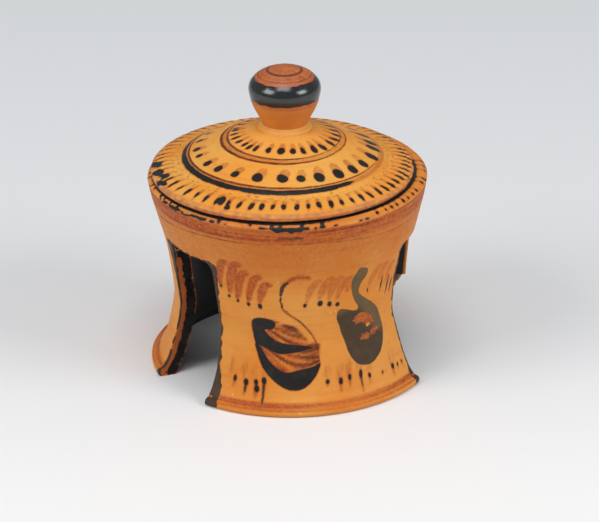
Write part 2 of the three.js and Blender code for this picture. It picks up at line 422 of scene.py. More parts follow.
def finishPiece(bm, name, sharpAngle=50):
    mesh = bpy.data.meshes.new(name)
    bm.to_mesh(mesh)
    bm.free()
    mesh.shade_smooth()
    mesh.set_sharp_from_angle(angle=math.radians(sharpAngle))
    piece = bpy.data.objects.new(name, mesh)
    bpy.context.scene.collection.objects.link(piece)
    return piece


def cylinderPlace(place):
    azimuth = math.degrees(math.atan2(place.x, -place.y))
    return azimuth, math.hypot(place.x, place.y) / mm, place.z / mm


def wobble(bm, depth, scale, seed):
    for vert in bm.verts:
        flat = Vector((vert.co.x, vert.co.y, 0))
        if flat.length < 1 * mm:
            continue
        push = noise.noise(vert.co * scale + Vector((seed, 0, 0)))
        vert.co -= flat.normalized() * (push * 0.5 + 0.5) * depth * mm


# The pot leans a little to the left, about a point near its rim
leanSizes = {"perMm": 0.01735, "pivot": 57.6}


def leanOver(piece):
    for vert in piece.data.vertices:
        vert.co.x += (leanSizes["pivot"] * mm - vert.co.z) * leanSizes["perMm"]


wallSizes = {
    "footRadius": 45.6,
    "bandHeight": 2.5,
    "underCut": 1.2,
    "grooveDepth": 0.7,
    "grooveTop": 3.2,
    "outline": [(43.3, 3.2), (41.4, 6.2), (39.5, 12.4), (37.65, 21.2), (37.4, 27.0), (39.1, 41.5),
                (41.6, 52.0), (43.25, 58.5), (44.2, 63.4)],
    "shoulderHeight": 52.0,
    "rimHeight": 63.4,
    "rimTop": 64.7,
    "seatRadius": 42.4,
    "mouthRadius": 38.6,
    "thickness": 5.3,
    "rimThickness": 5.6,
    "footInner": 39.7,
    "openingTop": 47.0,
    "cornerRadius": 2.5,
    "openings": [(-70.0, -36.5), (60.5, 97.0), (176.5, 209.5)],
    "columnsPerDegree": 1.34,
    "capColumns": 10,
    "rowStep": 0.55,
    "arris": 0.34,
    # how far each cut edge wanders from its azimuth: height, degrees
    "wander": {
        -70.0: [(0, 0), (5, -1.4), (9, -2.2), (14, -1.2), (19, 0), (27, 1.0), (33, 0.2), (40, 2.2),
                (47, 3.0)],
        -36.5: [(0, -1.0), (6, -0.6), (11.5, 0.3), (26, 0.2), (37, -0.6), (47, -0.7)],
        60.5: [(0, 1.4), (6.4, 1.8), (12, 1.2), (18.5, 0.5), (26.7, -1.4), (36.5, -1.6), (42.3, 0.6),
               (47, 0.4)],
    },
}
breakSizes = {
    "edge": 97.0,
    "startHeight": 26.3,
    "bendAzimuth": 121.0,
    "bendHeight": 20.5,
    "endAzimuth": 138.0,
    # where its edge runs over the wall: azimuth, height
    "course": [(97, 26.2), (98.3, 25.7), (107, 22.3), (117.8, 16.6), (127.4, 9.7), (136.1, 1.6), (140, -3)],
    "roughness": 0.4,
}
outerLine = smoothLine(wallSizes["outline"], wallSizes["rowStep"])
outerHeights = [height for radius, height in outerLine]
outerRadii = [radius for radius, height in outerLine]


def outerRadius(height):
    return float(np.interp(height, outerHeights, outerRadii))


def innerRadius(height):
    sizes = wallSizes
    thickness = np.interp(height, [sizes["shoulderHeight"], sizes["rimHeight"]],
                          [sizes["thickness"], sizes["rimThickness"]])
    return outerRadius(height) - float(thickness)


# Chains of points up the wall: below the openings' tops the outer and the inner chain have equal rows
def wallChains():
    sizes = wallSizes
    top = sizes["openingTop"]
    outer = arcLine((sizes["footRadius"] - sizes["underCut"], sizes["bandHeight"] / 2),
                    (sizes["underCut"], sizes["bandHeight"] / 2), -90, 90, 8)
    outer.append((sizes["footRadius"] - sizes["underCut"] - sizes["grooveDepth"],
                  sizes["bandHeight"] + 0.23))
    outer += [point for point in outerLine if point[1] < top - 0.3] + [(outerRadius(top), top)]
    inner = []
    for radius, height in outer:
        if height < sizes["grooveTop"]:
            share = height / sizes["grooveTop"]
            low = sizes["footInner"]
            inner.append((low + (innerRadius(sizes["grooveTop"]) - low) * share, height))
        else:
            inner.append((innerRadius(height), height))
    upper = [point for point in outerLine if point[1] > top + 0.3]
    upper.append(((upper[-1][0] + sizes["seatRadius"]) / 2 + 0.12,
                  (sizes["rimHeight"] + sizes["rimTop"]) / 2 + 0.1))
    seatShares = (1.0, 0.75, 0.5, 0.25, 0.0)
    seatWidth = sizes["seatRadius"] - sizes["mouthRadius"]
    upper += [(sizes["mouthRadius"] + seatWidth * share, sizes["rimTop"]) for share in seatShares]
    rows = 30
    for i in range(1, rows):
        height = sizes["rimTop"] + (top - sizes["rimTop"]) * i / rows
        upper.append((sizes["mouthRadius"] if height > sizes["rimHeight"] else innerRadius(height), height))
    return outer, inner, upper


def between(first, second, share):
    return (first[0] + (second[0] - first[0]) * share, first[1] + (second[1] - first[1]) * share)


def addCutFace(bm, azimuth, outer, inner):
    rows, columns = len(outer) - 1, wallSizes["capColumns"]
    made = bmesh.ops.create_grid(bm, x_segments=rows, y_segments=columns, size=0.5)
    turn = Matrix.Rotation(math.radians(azimuth), 3, "Z")
    for vert in made["verts"]:
        row = round((vert.co.x + 0.5) * rows)
        share = round((vert.co.y + 0.5) * columns) / columns
        radius, height = between(outer[row], inner[row], share)
        vert.co = turn @ Vector((0, -radius, height)) * mm


def depthShare(radius, height):
    outside, inside = outerRadius(height), innerRadius(height)
    return (outside - radius) / (outside - inside)


# Rounds the upper corners of the openings and lets their edges wander as hand-cut edges do
def shapeOpenings(bm):
    sizes = wallSizes
    corner, top = sizes["cornerRadius"], sizes["openingTop"]
    for vert in bm.verts:
        azimuth, radius, height = cylinderPlace(vert.co)
        drop = 0.0
        turn = 0.0
        for low, high in sizes["openings"]:
            for edge, side in ((low, 1), (high, -1)):
                away = (azimuth - edge + 180) % 360 - 180
                reach = side * math.radians(away) * 38
                if 0 <= reach < corner:
                    drop = corner - math.sqrt(corner ** 2 - (corner - reach) ** 2)
                elif -6 < reach < 0:
                    drop = corner * (1 + reach / 6) ** 2
                if edge in sizes["wander"] and abs(away) < 12:
                    turn = np.interp(height, *zip(*sizes["wander"][edge])) * (1 - abs(away) / 12)
        if drop and top - 14 < height < top + 5.5:
            share = depthShare(radius, height)
            if height > top:
                height -= drop * (1 - (height - top) / 5.5)
            else:
                height -= drop * (1 - (top - height) / 14)
            outside, inside = outerRadius(height), innerRadius(height)
            radius = outside - share * (outside - inside)
        angle = math.radians(azimuth + turn)
        vert.co = Vector((radius * math.sin(angle), -radius * math.cos(angle), height)) * mm


# Knife marks and lumps of clay on the cut faces
def roughenCuts(bm):
    top = wallSizes["openingTop"]
    for vert in bm.verts:
        azimuth, radius, height = cylinderPlace(vert.co)
        if height > top + 0.6 or height < 0.5:
            continue
        share = depthShare(radius, max(height, 3.3))
        if 0.1 < share < 0.9:
            push = noise.noise_vector(vert.co * 420) * 0.22
            if -70 < azimuth < -38 and height > top - 4:
                push.z -= max(0.0, noise.noise(vert.co * 600) + 0.25) * 1.1
            vert.co += push * mm


def makeBreakCutter():
    sizes = breakSizes
    bm = bmesh.new()
    bmesh.ops.create_grid(bm, x_segments=64, y_segments=20, size=0.5)
    start = Vector((sizes["edge"] - 8, sizes["startHeight"] + 2.1))
    bend = Vector((sizes["bendAzimuth"], sizes["bendHeight"]))
    end = Vector((sizes["endAzimuth"] + 2, -3.0))
    for vert in bm.verts:
        along, depth = vert.co.x + 0.5, vert.co.y + 0.5
        place = start.lerp(bend, along).lerp(bend.lerp(end, along), along)
        radius = 26 + 24 * depth
        spot = Matrix.Rotation(math.radians(place.x), 3, "Z") @ Vector((0, -radius, place.y))
        rough = noise.fractal(spot * 0.35, 0.6, 2.0, 4) * sizes["roughness"]
        vert.co = (spot + Vector((0, 0, rough * 1.6))) * mm
    lower = bmesh.ops.extrude_face_region(bm, geom=bm.faces[:])
    for item in lower["geom"]:
        if isinstance(item, bmesh.types.BMVert):
            turned = Matrix.Rotation(math.radians(-22), 3, "Z") @ item.co
            item.co = Vector((turned.x, turned.y, -9 * mm))
    tidyMesh(bm)
    return finishPiece(bm, "breakCutter")


def applyModifiers(piece):
    bpy.context.view_layer.update()
    graph = bpy.context.evaluated_depsgraph_get()
    mesh = bpy.data.meshes.new_from_object(piece.evaluated_get(graph))
    piece.modifiers.clear()
    piece.data = mesh


def makeWall():
    sizes = wallSizes
    outer, inner, upper = wallChains()
    shares = [i / sizes["capColumns"] for i in range(1, sizes["capColumns"])]
    overLeg = outer + upper + inner[::-1] + [between(inner[0], outer[0], share) for share in shares]
    overGap = [outer[-1]] + upper + [inner[-1]] + [between(inner[-1], outer[-1], share) for share in shares]
    bm = bmesh.new()
    openings = sizes["openings"]
    for i, (low, high) in enumerate(openings):
        following = openings[(i + 1) % 3][0] + (360 if i == 2 else 0)
        spinProfile(bm, overGap, low, high, round((high - low) * sizes["columnsPerDegree"]), True)
        spinProfile(bm, overLeg, high, following,
                    round((following - high) * sizes["columnsPerDegree"]), True)
        addCutFace(bm, low, outer, inner)
        addCutFace(bm, high, outer, inner)
    bmesh.ops.remove_doubles(bm, verts=bm.verts[:], dist=0.02 * mm)
    bmesh.ops.recalc_face_normals(bm, faces=bm.faces[:])
    print("open edges of the wall:", sum(edge.is_boundary for edge in bm.edges))
    shapeOpenings(bm)
    sharp = []
    for edge in bm.edges:
        middle = (edge.verts[0].co.z + edge.verts[1].co.z) / 2 / mm
        turn = math.degrees(edge.calc_face_angle(0))
        if middle > 0.05 and turn > (60 if 1.8 < middle < 3.6 else 36):
            sharp.append(edge)
    bmesh.ops.bevel(bm, geom=sharp, offset=sizes["arris"] * mm, offset_type="OFFSET", segments=2,
                    profile=0.5, affect="EDGES", clamp_overlap=True, material=-1)
    roughenCuts(bm)
    wobble(bm, 0.2, 38, 3.0)
    tidyMesh(bm)
    wall = finishPiece(bm, "paintedWall", 40)
    cutter = makeBreakCutter()
    boolean = wall.modifiers.new("break", "BOOLEAN")
    boolean.operation = "DIFFERENCE"
    boolean.solver = "EXACT"
    boolean.object = cutter
    applyModifiers(wall)
    bpy.data.objects.remove(cutter)
    return wall


wall = makeWall()
print("stage: wall", len(wall.data.polygons))


# Lid: sizes are heights above the seat
lidSizes = {
    "shift": (-1.5, -0.85),
    "sink": 1.2,           # how much lower the lid lies at its back
    "sinkAzimuth": 145,
    "wornEdge": 0.8,       # lost from its edge at the right and the back
    "base": 65.0,
    "radius": 41.9,
    "outline": [(41.2, 2.1), (39.2, 2.95), (37.0, 3.8), (35.4, 4.25), (34.4, 4.42), (33.7, 4.5)],
    "step": [(33.3, 4.6), (32.9, 4.85), (32.5, 5.2)],
    "dome": [(31.9, 5.5), (29.0, 6.95), (25.85, 8.45), (22.8, 9.8), (19.8, 11.0), (16.8, 12.3),
             (14.2, 13.3), (11.4, 14.25), (8.6, 14.85)],
    "crown": 14.9,
    "under": [(32.5, 0.0), (29.7, 1.2), (19.8, 6.6), (8.6, 10.5), (0.0, 10.9)],
    "columns": 420,
}


# Paint fields: signed distances in millimetres from each point of a surface to the painted strokes
def vertexArray(piece):
    places = np.zeros(len(piece.data.vertices) * 3)
    piece.data.vertices.foreach_get("co", places)
    return places.reshape(-1, 3) / mm


def polarPlaces(piece, shift=(0.0, 0.0)):
    spots = vertexArray(piece)
    across, back = spots[:, 0] - shift[0], spots[:, 1] - shift[1]
    return np.degrees(np.arctan2(across, -back)), np.hypot(across, back), spots[:, 2]


def nearPoints(across, up, points):
    margin = 3
    xs, ys = zip(*points)
    return ((across > min(xs) - margin) & (across < max(xs) + margin)
            & (up > min(ys) - margin) & (up < max(ys) + margin))


def strokeField(across, up, points, widths):
    field = np.full(across.shape, 5.0)
    near = nearPoints(across, up, points)
    across, up = across[near], up[near]
    best = np.full(across.shape, 9.0)
    for i in range(len(points) - 1):
        (ax, ay), (bx, by) = points[i], points[i + 1]
        dx, dy = bx - ax, by - ay
        length = max(dx * dx + dy * dy, 1e-9)
        share = np.clip(((across - ax) * dx + (up - ay) * dy) / length, 0, 1)
        reach = np.hypot(across - ax - share * dx, up - ay - share * dy)
        width = widths[i] + (widths[i + 1] - widths[i]) * share
        best = np.minimum(best, reach - width / 2)
    field[near] = best
    return field


def shapeField(across, up, points):
    field = np.full(across.shape, 5.0)
    near = nearPoints(across, up, points)
    across, up = across[near], up[near]
    reach = np.full(across.shape, 9.0)
    inside = np.zeros(across.shape, bool)
    for i in range(len(points)):
        (ax, ay), (bx, by) = points[i - 1], points[i]
        dx, dy = bx - ax, by - ay
        length = max(dx * dx + dy * dy, 1e-9)
        share = np.clip(((across - ax) * dx + (up - ay) * dy) / length, 0, 1)
        reach = np.minimum(reach, np.hypot(across - ax - share * dx, up - ay - share * dy))
        crosses = (ay > up) != (by > up)
        slope = np.where(crosses, (up - ay) / (dy if dy else 1e-9), 0)
        inside ^= crosses & (across < ax + slope * dx)
    field[near] = np.where(inside, -reach, reach)
    return field


def dotField(across, up, place, size, turn=0.0):
    angle = math.radians(turn)
    dx, dy = across - place[0], up - place[1]
    along = dx * math.cos(angle) + dy * math.sin(angle)
    beside = dy * math.cos(angle) - dx * math.sin(angle)
    half = (size[0] / 2, size[1] / 2)
    share = np.hypot(along / half[0], beside / half[1])
    return (share - 1) * min(half)


def storeField(piece, name, values):
    attribute = piece.data.attributes.new(name, "FLOAT", "POINT")
    attribute.data.foreach_set("value", np.ascontiguousarray(values, np.float32))


# Radii at which paint is laid out on the wall and on the rim
paintRadius = {"wall": 38.5, "rim": 43.5}
wallScale = math.radians(1) * paintRadius["wall"]  # millimetres along the wall for one degree


def onWall(points):
    return [(azimuth * wallScale, height) for azimuth, height in points]


def brush(across, up, points, widths):
    line = smoothLine(onWall(points), 0.7)
    marks = np.linspace(0, 1, len(widths))
    spread = np.interp(np.linspace(0, 1, len(line)), marks, widths)
    return strokeField(across, up, line, list(spread))


# Places on the wall are azimuth in degrees and height in millimetres
swanBody = [(-18.6, 29.3), (-18.3, 24.2), (-15.8, 17.8), (-13.8, 14.5), (-10.9, 11.9), (-7.2, 9.6),
            (-3.2, 7.9), (-0.2, 7.4), (3.3, 7.5), (6.9, 8.7), (10.2, 10.9), (12.3, 13.2), (13.1, 15.6),
            (13.5, 19.4), (13.2, 21.6), (9, 22.1), (7.4, 23.5), (5, 25.7), (2, 27.6), (-2, 28.6),
            (-5.9, 29.4), (-9.5, 30), (-13.7, 30.3)]
swanLeft = {
    "body": swanBody,
    "hook": [(-18.6, 28.9), (-18.5, 25.5), (-17.4, 22.2), (-15.6, 21.2), (-11.3, 20), (-5.9, 18.6),
             (-1.2, 18.8), (3.5, 19.2), (7.4, 19.8), (10.6, 20.4), (6.6, 21.1), (2, 21.5), (-2.7, 21.9),
             (-6.6, 22.6), (-9.8, 24), (-12.1, 25.6), (-12.7, 26.5), (-9.8, 26.4), (-7.8, 27.4),
             (-7.2, 28.7), (-9.5, 30), (-13.7, 30.4), (-16.8, 30)],
    "belly": [(-17.4, 21.6), *swanBody[2:12], (13.3, 15.4), (9.8, 14.4), (3.5, 13.6), (-2, 12.8),
              (-5.9, 13.7), (-10.5, 16.4), (-14.6, 20.4)],
    "bands": [([(-0.5, 20.2), (6, 20), (10, 20.5), (13.3, 20.6)], 2.6, 0.8),
              ([(3, 18), (7, 17.4), (10.5, 17.2), (13.4, 17.6)], 1.3, 0.85),
              ([(2, 15.3), (6, 15.1), (10, 15.5), (13.2, 16.2)], 1.0, 0.9),
              ([(-3.6, 28.2), (-0.4, 27.3), (2.4, 25.9), (4.6, 24.6)], 1.5, 0.8)],
    "fans": [(-17, 28.5), (-17.5, 22)],
    "neckTop": [(9.3, 44.8), (7.0, 45.3), (3.5, 45.3), (0.4, 44.4), (-2.4, 42.9)],
    "neckTopWidths": [0.9, 1.7, 1.5, 1.5, 1.8],
    "neckDark": [(-0.6, 43.6), (-2.6, 42.4), (-3.7, 40.5), (-4.2, 37.2), (-3.6, 34.6), (-1.2, 32.8),
                 (0.6, 31.6)],
    "neckDarkWidths": [0.9, 1.6, 1.1, 0.9, 0.9, 0.8, 0.3],
    "neckThin": [(-3.8, 36), (-3.6, 34.3), (-2.2, 32.8), (0.3, 31.5), (4.5, 29.3), (7.7, 26.8),
                 (10.0, 24.6), (11.8, 22.1), (12.6, 19.4)],
    "neckThinWidths": [0.8, 0.9, 0.85, 0.8, 0.75, 0.75, 0.75, 0.75, 0.7],
}
swanRight = {
    "body": [(31.9, 44.3), (33.3, 45.6), (36.3, 45.2), (38.1, 44.2), (37.4, 42.1), (35.3, 40.4),
             (33.9, 38.5), (34.2, 36.3), (37.4, 34.2), (41.9, 31.8), (45.4, 29.3), (47.1, 27.3),
             (49.1, 24.0), (49.7, 20.7), (48.3, 17.1), (45.9, 14.4), (42.0, 12.5), (38.5, 11.7),
             (34.8, 11.9), (31.6, 12.9), (29.1, 14.9), (27.4, 17.5), (26.2, 20.6), (24.7, 23.8),
             (23.7, 26.4), (22.5, 28.6), (22.5, 30.6), (23.4, 31.9), (25.0, 32.2), (28.4, 31.4),
             (32.3, 30.5), (34.0, 31.3), (31.6, 34.2), (30.3, 36.6), (29.5, 38.9), (29.7, 41.4),
             (30.6, 43.1)],
    "patch": [(31.2, 26.9), (35, 29), (38.5, 28.6), (41.7, 26.5), (43.6, 24.5), (38, 25)],
    "spots": [((43.8, 21.6), (3.2, 1.5), 12), ((38, 20.6), (3.4, 1.6), 0)],
    "chip": ((40, 24), (1.5, 1.1)),
    "thin": [(20, 60), (20, 33), (33, 32), (38, 28.5), (42, 24), (60, 21), (60, 60)],
}
# Each tongue runs from its top to its foot and is hooked to the right
tongueRows = [
    {"strokes": [((-30.5, 48.7), (-33.5, 40.5)), ((-24.5, 48.7), (-28.7, 38.4)),
                 ((-21.3, 45.8), (-24.9, 36.6)), ((-15.3, 44.8), (-19.7, 35.8)),
                 ((-10.9, 42.3), (-13.9, 36.3))],
     "width": 2.9, "strength": 0.85, "hook": 2.4,
     "dots": [(-33.1, 39.6), (-29.3, 36.6), (-24.9, 35.5), (-19.6, 34.8), (-14.1, 34.6)],
     "sizes": [(0.9, 1.3), (1.1, 1.3), (1.0, 1.3), (1.2, 1.5), (1.4, 1.9)]},
    {"strokes": [((12.4, 43.4), (7.6, 36.4)), ((18.4, 43.4), (13.8, 37.2)), ((22.6, 43.2), (18.2, 36.8)),
                 ((27.4, 42.8), (22.4, 36.6)), ((30.4, 41.4), (27.2, 38.4))],
     "width": 2.8, "strength": 0.5, "hook": 1.6,
     "dots": [(6.9, 35.1), (14.1, 35.4), (18.6, 34.8), (22.6, 34.2)],
     "sizes": [(1.2, 1.5), (1.7, 2.0), (1.5, 1.9), (1.4, 1.5)]},
    {"strokes": [((44.4, 43.6), (39.6, 37.8)), ((49.4, 43.4), (46, 38.8)), ((54.6, 42.4), (51.4, 37.4))],
     "width": 2.1, "strength": 0.42, "hook": 1.6, "dots": [], "sizes": []},
]
darkStrokes = [((48.4, 39.6), (47.0, 34.2)), ((53.4, 38.4), (51.2, 32.1)), ((56.0, 37.0), (54.3, 32.4)),
               ((38.8, 37.1), (39.1, 35.3))]
# The lower row: place, size, length of the drip below it
lowerRow = [((-26.3, 9.6), (1.1, 2.1), 1.2), ((-20.9, 9.0), (1.5, 2.2), 2.6),
            ((-16.3, 9.4), (1.3, 1.8), 3.0), ((-15.8, 7.4), (1.6, 2.2), 1.4),
            ((-12.6, 10.0), (1.5, 2.3), 6.6), ((15.9, 9.3), (1.2, 1.5), 0.4),
            ((22.0, 8.9), (1.4, 2.1), 1.8), ((26.5, 9.5), (1.2, 1.9), 1.6), ((32.2, 9.6), (1.2, 2.8), 3.8),
            ((36.6, 8.4), (1.1, 1.6), 1.2), ((44.1, 7.8), (0.7, 0.9), 0.3), ((51.0, 8.1), (1.3, 2.0), 1.8),
            ((54.5, 7.8), (0.8, 1.2), 0.6), ((57.9, 7.8), (0.8, 1.2), 0.6)]
hazeSpots = [(-28.5, 13.2), (-22, 12.6), (-17.4, 12.2), (-12.4, 12.6), (16, 12), (22.2, 12), (26.6, 12.4),
             (32.4, 13), (37.4, 11.8), (51.6, 11)]
# Dark edges of the legs: the side on which the leg lies, zone of azimuth, line of height and azimuth
edgeBands = [
    (1, (-40, -20), [(0, -31.5), (5, -32.0), (8, -33.0), (12, -34.2), (20, -35.0), (35, -35.3),
                     (46, -34.4)]),
    (-1, (40, 66), [(0, 58.6), (3, 59.2), (6, 61.2), (12, 60.6), (18.5, 60.0), (26.7, 57.9),
                    (36.5, 57.6), (44, 60.0)]),
    (-1, (-80, -60), [(0, -71.6), (6, -73), (14, -71.6), (24, -70.2), (34, -71.2), (44, -72.5)]),
]
# Lower limit of the dark worn patches at the rim: azimuth, height
rimPatches = [(-180, 64.0), (-66, 64.0), (-60, 63.2), (-50, 63.0), (-46.6, 63.3), (-37.2, 62.7),
              (-32.2, 63.0), (-24, 64.0), (-10, 63.7), (-7, 62.9), (-3.1, 62.6), (4.9, 62.8), (10, 63.5),
              (14, 63), (18, 63.7), (60, 64.0), (180, 64.0)]
thinLine = [(-180, 56.0), (-69.9, 55.7), (-36.2, 57.5), (-5.2, 57.9), (13.0, 58.1), (50.7, 55.8),
            (180, 55.8)]


def noiseAlong(first, second, seed):
    return np.array([noise.noise(Vector((a, b, seed))) for a, b in zip(first, second)])


def smooth(values, low, high):
    share = np.clip((values - low) / (high - low), 0, 1)
    return share * share * (3 - 2 * share)


def fade(values, low, high):
    return 1 - smooth(values, low, high)


def within(values, low, high):
    return (values > low) & (values < high)


def bandCover(values, limits):
    return smooth(values, *limits[0]) * fade(values, *limits[1])


def alongTable(values, table):
    return np.interp(values, *zip(*table))


# Fields of one surface and the attributes that carry them to its material
paintLabels = {"black": "blackPaint", "line": "linePaint", "dark": "darkPaint", "soft": "washAndShade",
               "lineStrength": "lineStrength", "streak": "streakPaint", "thin": "thinPaint",
               "edge": "edgeTone"}


class Paint:
    def __init__(self, count):
        for name in ("black", "line", "dark"):
            setattr(self, name, np.full(count, 5.0))
        for name in ("lineStrength", "soft", "streak", "thin", "edge"):
            setattr(self, name, np.zeros(count))

    def addLine(self, field, level):
        near = field < 0.5
        self.lineStrength[near] = np.maximum(self.lineStrength[near], level)
        self.line = np.minimum(self.line, field)

    def lay(self, name, distance, near=slice(None)):
        values = getattr(self, name)
        values[near] = np.minimum(values[near], distance)

    def tone(self, name, level, near=slice(None)):
        values = getattr(self, name)
        values[near] = np.maximum(values[near], level)

    def store(self, piece, hidden):
        for name in ("black", "line", "dark"):
            getattr(self, name)[hidden] = 5.0
        for name in ("soft", "streak"):
            getattr(self, name)[hidden] = 0.0
        for name, label in paintLabels.items():
            storeField(piece, label, getattr(self, name))


def paintSwans(paint, across, height):
    def shape(points):
        return shapeField(across, height, smoothLine(onWall(points), 0.5, True))

    body = shape(swanLeft["body"])
    inside = fade(body, -0.25, 0.15)
    paint.tone("soft", inside * 0.8)
    paint.lay("black", np.minimum(shape(swanLeft["hook"]), shape(swanLeft["belly"])))
    upper = height > np.interp(across / wallScale, [-18, -8, 0, 14], [24, 20.5, 19.5, 20])
    fanX = np.where(upper, swanLeft["fans"][0][0], swanLeft["fans"][1][0]) * wallScale
    fanZ = np.where(upper, swanLeft["fans"][0][1], swanLeft["fans"][1][1])
    angle = np.arctan2(height - fanZ, across - fanX)
    reach = np.hypot(height - fanZ, across - fanX)
    hairs = noiseAlong(angle * 9, reach * 0.1, 2.0) + 0.5 * noiseAlong(angle * 26, reach * 0.16, 7.0)
    paint.tone("streak", inside * smooth(hairs, 0.0, 0.5) * 0.85)
    pale = inside * smooth(hairs, -0.12, -0.5)
    paint.soft *= 1 - 0.75 * pale
    ragged = noiseAlong(across * 0.6, height * 2.4, 5.0)
    for points, width, level in swanLeft["bands"]:
        band = brush(across, height, points, [width * 0.5, width, width, width * 0.7]) + ragged * 0.5
        paint.tone("streak", inside * fade(band, -0.5, 0.45) * level)
    top = brush(across, height, swanLeft["neckTop"], swanLeft["neckTopWidths"])
    brushed = noiseAlong(across * 0.35, height * 2.2, 9.0)
    paint.tone("soft", fade(top + brushed * 0.5, -0.5, 0.4) * 0.85)
    neck = brush(across, height, swanLeft["neckDark"], swanLeft["neckDarkWidths"])
    paint.lay("dark", neck + 0.1 + brushed * 0.35)
    paint.addLine(brush(across, height, swanLeft["neckThin"], swanLeft["neckThinWidths"]), 0.8)

    swan = shape(swanRight["body"])
    patch = shape(swanRight["patch"]) + ragged * 0.9
    for place, size, turn in swanRight["spots"]:
        spot = dotField(across, height, (place[0] * wallScale, place[1]), size, turn)
        patch = np.minimum(patch, spot + ragged * 0.7)
    chip = dotField(across, height, (swanRight["chip"][0][0] * wallScale, swanRight["chip"][0][1]),
                    swanRight["chip"][1])
    paint.tone("soft", fade(patch, -0.3, 1.2) * 0.85)
    hole = np.minimum(patch * 0.22, chip)
    paint.lay("dark", np.maximum(swan, -hole))
    paint.soft[chip < 0.2] = 0.0
    thin = shape(swanRight["thin"])
    paint.tone("thin", fade(thin, -1.5, 2.0) * (swan < 1))


def paintRows(paint, across, height):
    for row in tongueRows:
        for top, foot in row["strokes"]:
            hook = (top[0] + row["hook"], top[1] + 0.2)
            bend = (top[0] * 0.45 + foot[0] * 0.55 - 0.5, top[1] * 0.5 + foot[1] * 0.5)
            width = row["width"] * random.uniform(0.88, 1.12)
            spread = [width * share for share in (0.55, 1, 0.9, 0.45)]
            line = brush(across, height, [hook, top, bend, foot], spread)
            near = line < 2
            hairs = noiseAlong(across[near] * 1.5, height[near] * 0.2, random.uniform(0, 50))
            cover = fade(line[near] + hairs * 0.5, -0.4, 0.35) * (0.92 + 0.3 * hairs)
            rim = fade(np.abs(line[near] + 0.35), 0.0, 0.45)
            paint.tone("soft", cover * row["strength"], near)
            paint.tone("soft", rim * row["strength"] * 1.15, near)
        for place, size in zip(row["dots"], row["sizes"]):
            dot = dotField(across, height, (place[0] * wallScale, place[1]), size, random.uniform(-15, 25))
            paint.lay("black", dot)
    for top, foot in darkStrokes:
        paint.lay("dark", brush(across, height, [top, foot], [0.6, 0.95, 0.4]) + 0.06)
    for place, size, drip in lowerRow:
        dot = dotField(across, height, (place[0] * wallScale, place[1]), size, random.uniform(-10, 12))
        paint.lay("black", dot)
        foot = (place[0] - 0.4, place[1] - size[1] / 2 - drip)
        trail = brush(across, height, [place, foot], [size[0] * 0.8, size[0] * 0.7, size[0] * 0.4])
        if drip > 2.4:
            paint.lay("dark", trail + 0.15)
        paint.tone("soft", fade(trail, -0.5, 0.5) * 0.8)
    for spot in hazeSpots:
        haze = dotField(across, height, (spot[0] * wallScale, spot[1]), (2.4, 5.4), -12)
        hairs = noiseAlong(across * 1.3, height * 0.25, spot[0])
        paint.tone("soft", fade(haze, -0.9, 0.8) * np.clip(0.3 + 0.5 * hairs, 0, 0.6))


# The rim: heights between which paint comes in and goes out, the painted shade over the upper wall under
# the rim, and its row of dots
rimPaint = {
    "wash": ((57.6, 59.2), (62.6, 63.6)),
    "shade": ((34, 58), (61, 64)),
    "shadeLevel": 0.45,
    "footWash": ((1.6, 2.4), (3.4, 4.2)),
    "dotHeight": 64.15,
    "dotGap": (3.4, 5.2),  # degrees
    "wornFrom": -55,
    "wornTo": 38,
}
# Dark line beside the lid, painted shadow of the gap between lid and rim, partly black slip: azimuth,
# radius about the lid's axis
creaseShadowLine = [(-180, 40), (-20, 41.6), (20, 42.05), (60, 42.2), (100, 42.1), (140, 40), (180, 40)]


def paintRim(paint, azimuth, height):
    around = np.radians(azimuth) * paintRadius["rim"]
    wavy = noiseAlong(around * 0.05, height * 1.3, 7.0)
    stripes = noiseAlong(around * 0.03, height * 2.6, 17.0)
    zone = bandCover(height, rimPaint["wash"])
    level = np.interp(azimuth, [-180, -90, -50, 0, 30, 90, 180], [0.5, 0.8, 0.95, 0.75, 0.75, 0.6, 0.5])
    paint.tone("soft", zone * np.clip(level + stripes * 0.9 + wavy * 0.4, 0.05, 0.95))
    paint.tone("streak", zone * smooth(stripes + wavy * 0.6, 0.2, 0.6) * 0.5)
    smear = brush(azimuth * wallScale, height, [(-4, 60.2), (2, 60), (6, 60.4)], [0.3, 0.6, 0.2])
    paint.tone("streak", fade(smear + wavy * 0.3, -0.2, 0.3))
    # Painted shade: the upper wall is darkened through the reddish wash, from mid height up to just under
    # the rim
    shade = bandCover(height, rimPaint["shade"]) * rimPaint["shadeLevel"]
    paint.soft = paint.soft + (1 - paint.soft) * shade
    low = alongTable(azimuth, rimPatches)
    ragged = noiseAlong(around * 0.45, height * 0.9, 3.0)
    paint.lay("black", np.maximum(low - height + ragged * 1.6, height - 63.9))
    faint = np.interp(azimuth, [-180, -80, -20, 20, 60, 180], [0.5, 0.9, 0.9, 0.6, 0.4, 0.4])
    line = np.abs(height - alongTable(azimuth, thinLine)) - 0.2
    paint.addLine(line + wavy * 0.12, 0.8)
    paint.lineStrength = np.where(np.abs(height - 57) < 2, faint, paint.lineStrength)
    spot = -180.0
    while spot < 180:
        spot += random.uniform(*rimPaint["dotGap"])
        size = (random.uniform(0.8, 1.5), random.uniform(0.7, 1.1))
        worn = rimPaint["wornFrom"] < spot < rimPaint["wornTo"]
        if random.random() < (0.3 if worn else 0.8):
            place = (math.radians(spot) * paintRadius["rim"], rimPaint["dotHeight"])
            dot = dotField(around, height, place, size)
            paint.lay("black", np.where(height > 63.3, dot, 5))
    foot = bandCover(height, rimPaint["footWash"])
    paint.tone("soft", foot * np.clip(0.75 + stripes, 0.3, 0.95))


